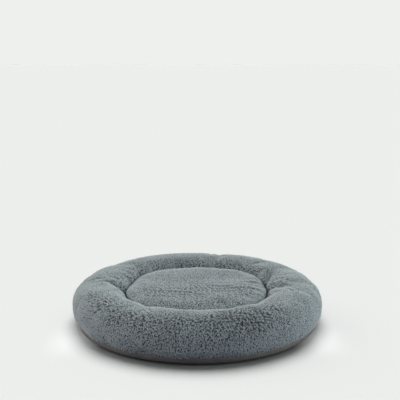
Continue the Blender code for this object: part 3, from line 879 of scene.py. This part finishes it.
def make_ring_plush():
    """The ring's skin, stuffed with its gathers, seams and zip held, and its pile."""
    s = sizes()
    outline, rows, azimuth = ring_grid()
    depth = ring_skin_depth(outline, rows, azimuth)
    points = ring_surface(outline, rows, azimuth, depth + RING_SKIN_SINK)
    obj = grid_object("ring_plush", points)
    creased = crease_depth(outline, rows[:, None], azimuth) > CREASE_HELD
    bare = (rows > outline.nest_end - 0.004)[:, None] | (rows < 0.004)[:, None]
    zipped = (np.abs(rows - outline.zip_at) < 0.0095)[:, None] & (zip_window(azimuth, 0.015) > 0.01)
    stuffed(obj, (creased | bare | zipped).ravel(), reach=0.0027, spare=0.03, pressure=6.0)
    points = places_of(obj).reshape(points.shape)
    finished(obj, "bed", material("shaded_plush_backing", shaded_plush_backing), ["ring_cover"])

    pile_rows = np.arange(0.0012, outline.nest_end - 0.001, s.curl_spacing * ROW_SPACING)
    length, turn = scattered_rows(outline, pile_rows, 21)
    length = length.clip(0.0008, outline.nest_end)
    above_zip = length > outline.zip_at + ZIP_SLOT_HALF + ZIP_PILE_CLEARANCE
    free = above_zip | (zip_window(turn, 0.001) < 0.5)
    length, turn = length[free], turn[free]
    extended = np.concatenate([rows, [rows[0] + outline.period]])
    row = np.interp((length - rows[0]) % outline.period + rows[0], extended, np.arange(len(extended)))
    col = turn / (2 * np.pi) * len(azimuth)
    normals = grid_normals(points, wrap_rows=True, wrap_cols=True)
    roots, up = (between(field, row, col, wrap_rows=True, wrap_cols=True) for field in (points, normals))
    for piece in curl_objects("ring_pile", roots, unit(up), 31, 8):
        finished(piece, "bed", material("sherpa_pile", sherpa_pile))


def side_radius(height):
    """The cushion's radius at a height: a clearance inside the ring's nest side there."""
    s = sizes()
    half, waist = s.ring_width / 2, (s.ring_height - s.pile) / 2
    rise = np.maximum(height - waist, 0) / (s.ring_height - waist)
    return s.bed_radius - half - half * (1 - rise**CROWN_POWER) ** (1 / CROWN_POWER) - CUSHION_CLEARANCE


def cushion_section():
    """The plush cushion's section from its flat underside's edge, round its foot, seam and side, over its
    rim: quarter ellipses at the foot and the rim, and between them the ring's own curve less a clearance.
    With it come the seam's height, its length along the section and the radius inside the rim."""
    s = sizes()
    foot = FLOOR_LEVEL + GAP - s.pile
    seam = FLOOR_LEVEL + GAP + CUSHION_SEAM_HEIGHT
    rim = s.cushion_crest - CUSHION_RIM_HEIGHT

    share = np.linspace(0, 1, 60)
    start = side_radius(seam) - CUSHION_FOOT
    across, down = quarter(CUSHION_FOOT, CUSHION_FOOT, 2, share[::-1])
    heights = np.linspace(seam + CUSHION_SEAM_ROLL, rim, 60)
    inner = side_radius(rim) - CUSHION_RIM_WIDTH
    rim_x, rim_z = quarter(CUSHION_RIM_WIDTH, CUSHION_RIM_HEIGHT, 2, share)
    radius = [start + across, [side_radius(seam) - CUSHION_SEAM_DRAW], side_radius(heights), inner + rim_x]
    height = [foot + CUSHION_FOOT - down, [seam], heights, rim + rim_z]
    outline = Outline(np.concatenate(radius), np.concatenate(height))
    return outline, seam, float(np.interp(seam, outline.height, outline.length)), inner


def cushion_relief(x, y):
    """Relief of the cushion's top: shallow wrinkles that run from side to side in its middle, short ones
    that fan out from its right edge, and soft lumps, each a sum or product of sines under bells."""
    warp = 0.006 * np.sin(17 * x + 1.3) + 0.004 * np.sin(41 * x + 60 * y)
    warp += 0.003 * np.sin(83 * x - 35 * y + 2.0)
    bands = np.sin((y + warp) * 2 * np.pi / 0.021 + 0.8) * (0.6 + 0.4 * np.sin(29 * x + 47 * y))
    long_ones = bands * bell(y + 0.035, 0.055) * bell(x, 0.1, 4)
    turn, radius = np.arctan2(y, x), np.hypot(x, y)
    fan = np.sin(turn * 30 + 0.7) * bell(turn_between(turn, 0.12), 0.45) * bell(radius - 0.135, 0.022)
    random = np.random.default_rng(5)
    ways = random.normal(0, 38, (10, 2))
    phase = random.uniform(0, 2 * np.pi, 10)
    soft = sum(np.cos(way[0] * x + way[1] * y + start) for way, start in zip(ways, phase)) / 3.2
    return 0.0012 * long_ones + 0.0010 * fan + 0.0010 * soft


def cushion_body():
    """The cushion's skin as a turned body, and the lengths along its section that its rows are at."""
    outline, _, seam_length, _ = cushion_section()
    lengths = np.linspace(0, outline.length[-1], CUSHION_ROWS)
    under = smooth_step((seam_length + 0.001 - lengths) / 0.002)
    depth = sizes().pile + under * (CLOTH + GAP + CLOTH_CLEARANCE) + CUSHION_SKIN_SINK
    return TurnedBody(moved_section(outline.at(lengths), depth), CUSHION_CELLS, CUSHION_DISH), lengths


def make_cushion_plush():
    """The cushion's skin, stuffed, and its pile above the seam."""
    s = sizes()
    outline, seam, seam_length, inner = cushion_section()
    body, lengths = cushion_body()
    points = body.points.copy()
    x, y, z = points.T
    widening = 1 + (plan_bulge(np.arctan2(y, x)) / side_radius(seam))[:, None]
    points[:, 2] += cushion_relief(x, y) * smooth_step((z - 0.07) / 0.008)
    points[:, :2] *= widening
    faces, uv = body.faces()
    obj = mesh_object("cushion_plush", points, faces, {BAKE_MAP: uv})
    stuffed(obj, points[:, 2] < seam + 0.003, reach=0.003, spare=0.04, pressure=2.5)
    points = places_of(obj)
    finished(obj, "cushion", material("shaded_plush_backing", shaded_plush_backing), ["cushion_cover"])

    top, side = points[body.upper], points[body.band]
    # A disc's square grid has as much room for curls as a square 0.886 times as wide.
    cells = round(2 * 0.886 * inner / s.curl_spacing)
    random = np.random.default_rng(22)
    row, col = np.divmod(np.arange(cells * cells), cells)
    row = (row + 0.5 + random.uniform(-JITTER, JITTER, row.size)) / cells * (top.shape[0] - 1)
    col = (col + 0.5 + random.uniform(-JITTER, JITTER, col.size)) / cells * (top.shape[1] - 1)
    roots, normals = [between(top, row, col)], [between(grid_normals(top), row, col)]
    side_rows = np.arange(seam_length + 0.0015, outline.length[-1], s.curl_spacing * ROW_SPACING)
    length, turn = scattered_rows(outline, side_rows, 23)
    row = np.interp(length, lengths, np.arange(len(lengths)))
    col = turn / (2 * np.pi) * side.shape[1]
    roots.append(between(side, row, col, wrap_cols=True))
    normals.append(between(grid_normals(side, wrap_cols=True), row, col, wrap_cols=True))
    roots, normals = np.concatenate(roots), unit(np.concatenate(normals))
    for piece in curl_objects("cushion_pile", roots, normals, 32, 2):
        finished(piece, "cushion", material("sherpa_pile", sherpa_pile))


def cloth_body(name, band, cells, reach, widened=None):
    """A thin closed piece of two discs and a band of section points between them, with a map in metres along
    its cloth for the weave: flat as far as a radius of reach, and wound round past it. Where it is widened as
    the nest is, widened is the radius that its shares refer to."""
    body = TurnedBody(band, cells)
    faces, uv = body.faces()
    if widened:
        turn = np.arctan2(body.points[:, 1], body.points[:, 0])
        body.points[:, :2] *= 1 + (plan_bulge(turn) / widened)[:, None]
    corner = body.points[faces]
    turn, radius = np.arctan2(corner[..., 1], corner[..., 0]), np.hypot(corner[..., 0], corner[..., 1])
    rim = smooth_step((radius - reach) / 0.001)[..., None]
    wound = np.stack([turn * reach, corner[..., 2] + radius], axis=-1)
    metric = corner[..., :2] * (1 - rim) + wound * rim
    return mesh_object(name, body.points, faces, {BAKE_MAP: uv, WEAVE_MAP: metric})


def folded_band(outer, inner, rim):
    """The band of a cloth's section: its outer face, its edge a little past both, and its inner face."""
    return np.concatenate([outer, [(outer[-1] + inner[-1]) / 2 + [0.0, rim]], inner[::-1]])


def make_base():
    """The dark cloth under the bed, turned up to the ring's seam, the wadding on it and the nest's floor."""
    s = sizes()
    outline = RingOutline()
    lengths = np.linspace(-BASE_TURN_UP, 0.0, 22)
    outer = outline.at(lengths) - outline.normal(lengths) * s.pile
    inner = outline.at(lengths) - outline.normal(lengths) * (s.pile + CLOTH)
    cloth = cloth_body("base_cloth", folded_band(outer, inner, 0.0006), 40, outer[0, 0])
    oxford = material("oxford_polyester", woven, "#5A5854", looks().base_cloth, 0.0011, 0.75)
    finished(cloth, "bed", oxford, ["base_panel"])

    low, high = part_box("base_wadding")
    disc = outline.floor_radius
    rounding, softening = 0.002, 0.003
    outer = [(disc, low.z + softening), (disc, high.z - softening)]
    band = np.array([(disc - rounding, low.z), *outer, (disc - rounding, high.z)])
    wadding = cloth_body("base_wadding_pad", band, 32, disc, widened=disc)
    finished(wadding, "bed", material("polyester_fibrefill", fibrefill), ["base_wadding"])

    low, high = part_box("nest_floor")
    rounding = 0.0006
    band = [(disc - rounding, low.z), (disc, (low.z + high.z) / 2), (disc - rounding, high.z)]
    floor = cloth_body("nest_floor_cloth", np.array(band), 40, disc, widened=disc)
    finished(floor, "bed", lining_twill(), ["nest_floor"])


def make_cushion_under():
    """The cushion's plain underside, sewn to its plush at the seam."""
    s = sizes()
    outline, seam, seam_length, _ = cushion_section()
    section = outline.at(np.linspace(0, seam_length - 0.0006, 12))
    outer, inner = moved_section(section, s.pile), moved_section(section, s.pile + CLOTH)
    band = folded_band(outer, inner, 0.0005)
    cloth = cloth_body("cushion_under", band, 40, outer[0, 0], widened=side_radius(seam))
    finished(cloth, "cushion", lining_twill(), ["cushion_base"])


def make_stuffing():
    """The ring's and the cushion's fibrefill: their settled skins moved inward by the cloth's thickness, the
    ring's lumpy with waves of its own."""
    fill = material("polyester_fibrefill", fibrefill)
    outline, rows, azimuth = ring_grid()
    skin = places_of(bpy.data.objects["ring_plush"]).reshape(len(rows), RING_COLUMNS, 3)
    depth = 0.0026 + lumps(rows[:, None], azimuth, outline.period, 12, 0.0004, (10, 40), (2, 9))[..., None]
    points = (skin - grid_normals(skin, wrap_rows=True, wrap_cols=True) * depth)[:, ::2]
    finished(grid_object("ring_stuffing", points), "bed", fill, ["ring_fill"])

    faces, uv = cushion_body()[0].faces()
    skin = places_of(bpy.data.objects["cushion_plush"])
    obj = mesh_object("cushion_stuffing", skin, faces, {BAKE_MAP: uv})
    normals = np.empty(skin.size, np.float32)
    obj.data.vertex_normals.foreach_get("vector", normals)
    move_points(obj, skin - normals.reshape(-1, 3) * 0.0028)
    finished(obj, "cushion", fill, ["cushion_fill"])


def zip_places(up, deep, azimuth):
    """Points of the zip: a way up the ring's flank and a depth under its plush, at azimuths."""
    place = ZIP_POINT + np.multiply.outer(up, ZIP_UP) - np.multiply.outer(deep, ZIP_OUT)
    return around(place[..., 0], place[..., 1], azimuth)


def zip_azimuth(length, count):
    """The azimuths of so many points along a length of the zip, whose middle is at the bed's back."""
    return np.pi / 2 + np.linspace(-0.5, 0.5, count) * length / ZIP_POINT[0]


def make_zip_tape(name, side):
    """A woven tape above (side 1) or below (side -1) the zip's slit, thin and flat."""
    length = ZIP_LENGTH + 2 * TAPE_OVERRUN
    azimuth = zip_azimuth(length, 121)
    across = np.linspace(SLIT / 2, SLIT / 2 + TAPE_WIDTH, TAPE_ROWS)
    up = side * np.concatenate([across, across[::-1]])
    deep = np.repeat([TAPE_DEPTH, TAPE_DEPTH + TAPE_THICKNESS], TAPE_ROWS)
    points = zip_places(up[None], deep[None], azimuth[:, None])
    index = np.arange(points.shape[0] * points.shape[1]).reshape(points.shape[:2])
    faces, _ = grid_quads(index, wrap_cols=True)
    near = np.arange(TAPE_ROWS - 1)[:, None]
    far = 2 * TAPE_ROWS - 1 - near
    end = np.hstack([near, near + 1, far - 1, far])
    faces = np.concatenate([faces, index[0][end][:, ::-1], index[-1][end]])
    if side > 0:
        faces = faces[:, ::-1]
    metric = np.stack(np.broadcast_arrays(azimuth[:, None] * ZIP_POINT[0], up), axis=-1).reshape(-1, 2)
    obj = mesh_object(name + "_cloth", points.reshape(-1, 3), faces, {WEAVE_MAP: metric[faces]})
    tape = material("zip_tape_polyester", woven, "#2A2D30", "#4A4F53", 0.0008, 0.8)
    finished(obj, "bed", tape, [name])


def make_zip_coil(name, side):
    """A nylon coil on a tape: a wire whose middle runs round an ellipse COIL_TURNS times along the zip."""
    count = COIL_TURNS * COIL_STEPS + 1
    turn = np.arange(count) / COIL_STEPS * 2 * np.pi + (0 if side > 0 else np.pi)
    azimuth = zip_azimuth(ZIP_LENGTH, count)
    up = side * (SLIT / 2 + COIL_MIDDLE) - side * (COIL_HALF_WIDTH - WIRE) * np.cos(turn)
    deep = COIL_DEPTH - (COIL_HALF_HEIGHT - WIRE) * np.sin(turn)
    line = zip_places(up, deep, azimuth)
    way = unit(np.gradient(line, axis=0))
    lead = around(ZIP_OUT[0], ZIP_OUT[1], azimuth)
    first = unit(np.cross(way, lead))
    second = np.cross(way, first)
    angle = (np.arange(WIRE_SIDES) / WIRE_SIDES * 2 * np.pi)[:, None]
    points = line[:, None] + WIRE * (first[:, None] * np.cos(angle) + second[:, None] * np.sin(angle))
    obj = grid_object(name + "_nylon", points, wrap_rows=False)
    finished(obj, "bed", material("nylon_monofilament", nylon), [name])


def make_zip():
    """The zip: woven tapes, nylon coils and the metal parts' finish."""
    for name, side in (("upper", 1), ("lower", -1)):
        make_zip_tape(f"zip_tape_{name}", side)
        make_zip_coil(f"zip_coil_{name}", side)
    for name in ("zip_slider", "zip_pull", "zip_stop_start", "zip_stop_end"):
        node = frame["nodes"][name]
        node.data.materials.clear()
        node.data.materials.append(material("lacquered_zinc", zip_alloy))


def add_light(name, kind, strength, receivers, **settings):
    """A light that shines on a collection of receivers only."""
    data = bpy.data.lights.new(name, kind)
    data.energy = looks().key_strength * strength
    for key, value in settings.items():
        setattr(data, key, value)
    lamp = bpy.data.objects.new(name, data)
    bpy.context.scene.collection.objects.link(lamp)
    lamp.light_linking.receiver_collection = receivers
    return lamp


def make_lights(lit):
    """Broad suns, each with what it lights, its strength, the azimuth that it comes from and its height in
    degrees, and its colour, and two spots from the front that open the shade beside the bed."""
    rows = (
        ("bed_back", "bed", 1.49, 90, 45, (0.95, 1.0, 0.995)),
        ("bed_right", "bed", 2.12, 0, 16, (0.94, 1.0, 1.0)),
        ("bed_left", "bed", 1.76, 180, 28, (1.04, 0.99, 0.97)),
        ("bed_over", "bed", 0.52, 300, 62, (1.06, 0.99, 0.99)),
        ("bed_front", "bed", 0.10, 280, 10, (0.8, 0.8, 1.5)),
        ("ground_back", "ground", 2.66, 88, 68, (1.0, 1.0, 1.0)),
        ("ground_left", "ground", 0.32, 150, 28, (1.0, 1.0, 1.0)),
    )
    for name, kind, strength, azimuth, height, colour in rows:
        sun = add_light(name, "SUN", strength, lit[kind], angle=math.radians(45), color=colour)
        sun.rotation_euler = (0, math.radians(90 - height), math.radians(azimuth))

    for name, side in (("spot_right", 1), ("spot_left", -1)):
        cone = {"spot_size": math.radians(6.5), "spot_blend": 1.0, "shadow_soft_size": 0.05}
        spot = add_light(name, "SPOT", 24.0, lit["ground"], **cone)
        spot.location = (0.50 * side, -0.85, 0.45)
        way = mathutils.Vector((0.265 * side, -0.105, 0.0)) - spot.location
        spot.rotation_euler = way.to_track_quat("-Z", "Y").to_euler()


def make_stage():
    """A pale seamless floor, lights for the bed and for the ground, light all round, and the camera. The
    lights are kept apart because the photograph's floor is lit evenly, with a narrow shadow."""
    scene = bpy.context.scene
    scene.view_settings.view_transform = "Standard"
    x, y = np.meshgrid(*[np.linspace(-20, 20, 9)] * 2)
    faces, _ = grid_quads(np.arange(x.size).reshape(x.shape))
    floor = mesh_object("floor", np.stack([x.ravel(), y.ravel(), np.zeros(x.size)], axis=1), faces)
    floor.data.materials.append(material("painted_floor", floor_paint))

    lit = {kind: bpy.data.collections.new(kind) for kind in ("bed", "ground")}
    for obj in scene.objects:
        lit["ground" if obj is floor else "bed"].objects.link(obj)
    make_lights(lit)

    world = bpy.data.worlds.new("studio")
    world.use_nodes = True
    scene.world = world
    tree = world.node_tree
    seen = add(tree, "ShaderNodeLightPath").outputs["Is Camera Ray"]
    fill = (*[looks().fill_strength] * 3, 1.0)
    mixed(tree, seen, fill, linear(looks().backdrop), tree.nodes["Background"].inputs["Color"])

    camera = bpy.data.cameras.new("camera")
    camera.sensor_width = 36.0
    camera.lens = EYE_LENS
    camera.clip_start, camera.clip_end = 0.05, 100.0
    eye = bpy.data.objects.new("camera", camera)
    eye.location = EYE
    eye.rotation_euler = (math.radians(90 - EYE_DIP), 0.0, 0.0)
    scene.collection.objects.link(eye)
    scene.camera = eye


# Operators, panel and registering


class PETBED_OT_ring_plush(bpy.types.Operator):
    """Makes the ring's stuffed skin and its curly pile."""

    bl_idname = "petbed.ring_plush"
    bl_label = "Ring plush"

    def execute(self, context):
        make_ring_plush()
        return {"FINISHED"}


class PETBED_OT_cushion_plush(bpy.types.Operator):
    """Makes the cushion's stuffed skin and its curly pile."""

    bl_idname = "petbed.cushion_plush"
    bl_label = "Cushion plush"

    def execute(self, context):
        make_cushion_plush()
        return {"FINISHED"}


class PETBED_OT_stuffing(bpy.types.Operator):
    """Makes the ring's and the cushion's fibrefill."""

    bl_idname = "petbed.stuffing"
    bl_label = "Stuffing"

    def execute(self, context):
        make_stuffing()
        return {"FINISHED"}


class PETBED_OT_base(bpy.types.Operator):
    """Makes the base's cloth, its wadding and the nest's floor cloth."""

    bl_idname = "petbed.base"
    bl_label = "Base"

    def execute(self, context):
        make_base()
        return {"FINISHED"}


class PETBED_OT_cushion_under(bpy.types.Operator):
    """Makes the cushion's plain underside."""

    bl_idname = "petbed.cushion_under"
    bl_label = "Cushion underside"

    def execute(self, context):
        make_cushion_under()
        return {"FINISHED"}


class PETBED_OT_zip(bpy.types.Operator):
    """Makes the zip's tapes and coils and finishes its metal parts."""

    bl_idname = "petbed.zip"
    bl_label = "Zip"

    def execute(self, context):
        make_zip()
        return {"FINISHED"}


class PETBED_OT_stage(bpy.types.Operator):
    """Makes the floor, the lights and the camera."""

    bl_idname = "petbed.stage"
    bl_label = "Stage"

    def execute(self, context):
        make_stage()
        return {"FINISHED"}


OPERATORS = (
    PETBED_OT_ring_plush,
    PETBED_OT_cushion_plush,
    PETBED_OT_stuffing,
    PETBED_OT_base,
    PETBED_OT_cushion_under,
    PETBED_OT_zip,
    PETBED_OT_stage,
)


class PETBED_PT_bed(bpy.types.Panel):
    """Lists the bed's pieces and their sizes and colours."""

    bl_idname = "PETBED_PT_bed"
    bl_label = "Round pet bed"
    bl_space_type = "VIEW_3D"
    bl_region_type = "UI"
    bl_category = "Pet bed"

    def draw(self, context):
        for operator in OPERATORS:
            self.layout.operator(operator.bl_idname)
        for group in (context.scene.pet_bed_sizes, context.scene.pet_bed_looks):
            for name in group.bl_rna.properties.keys():
                if name not in ("rna_type", "name"):
                    self.layout.prop(group, name)


CLASSES = (PETBED_PG_sizes, PETBED_PG_looks, *OPERATORS, PETBED_PT_bed)


def register():
    for each in CLASSES:
        bpy.utils.register_class(each)
    bpy.types.Scene.pet_bed_sizes = bpy.props.PointerProperty(type=PETBED_PG_sizes)
    bpy.types.Scene.pet_bed_looks = bpy.props.PointerProperty(type=PETBED_PG_looks)


def unregister():
    del bpy.types.Scene.pet_bed_looks
    del bpy.types.Scene.pet_bed_sizes
    for each in reversed(CLASSES):
        bpy.utils.unregister_class(each)


def main():
    register()
    for operator in OPERATORS:
        group, name = operator.bl_idname.split(".")
        getattr(getattr(bpy.ops, group), name)()


if __name__ == "__main__":
    main()
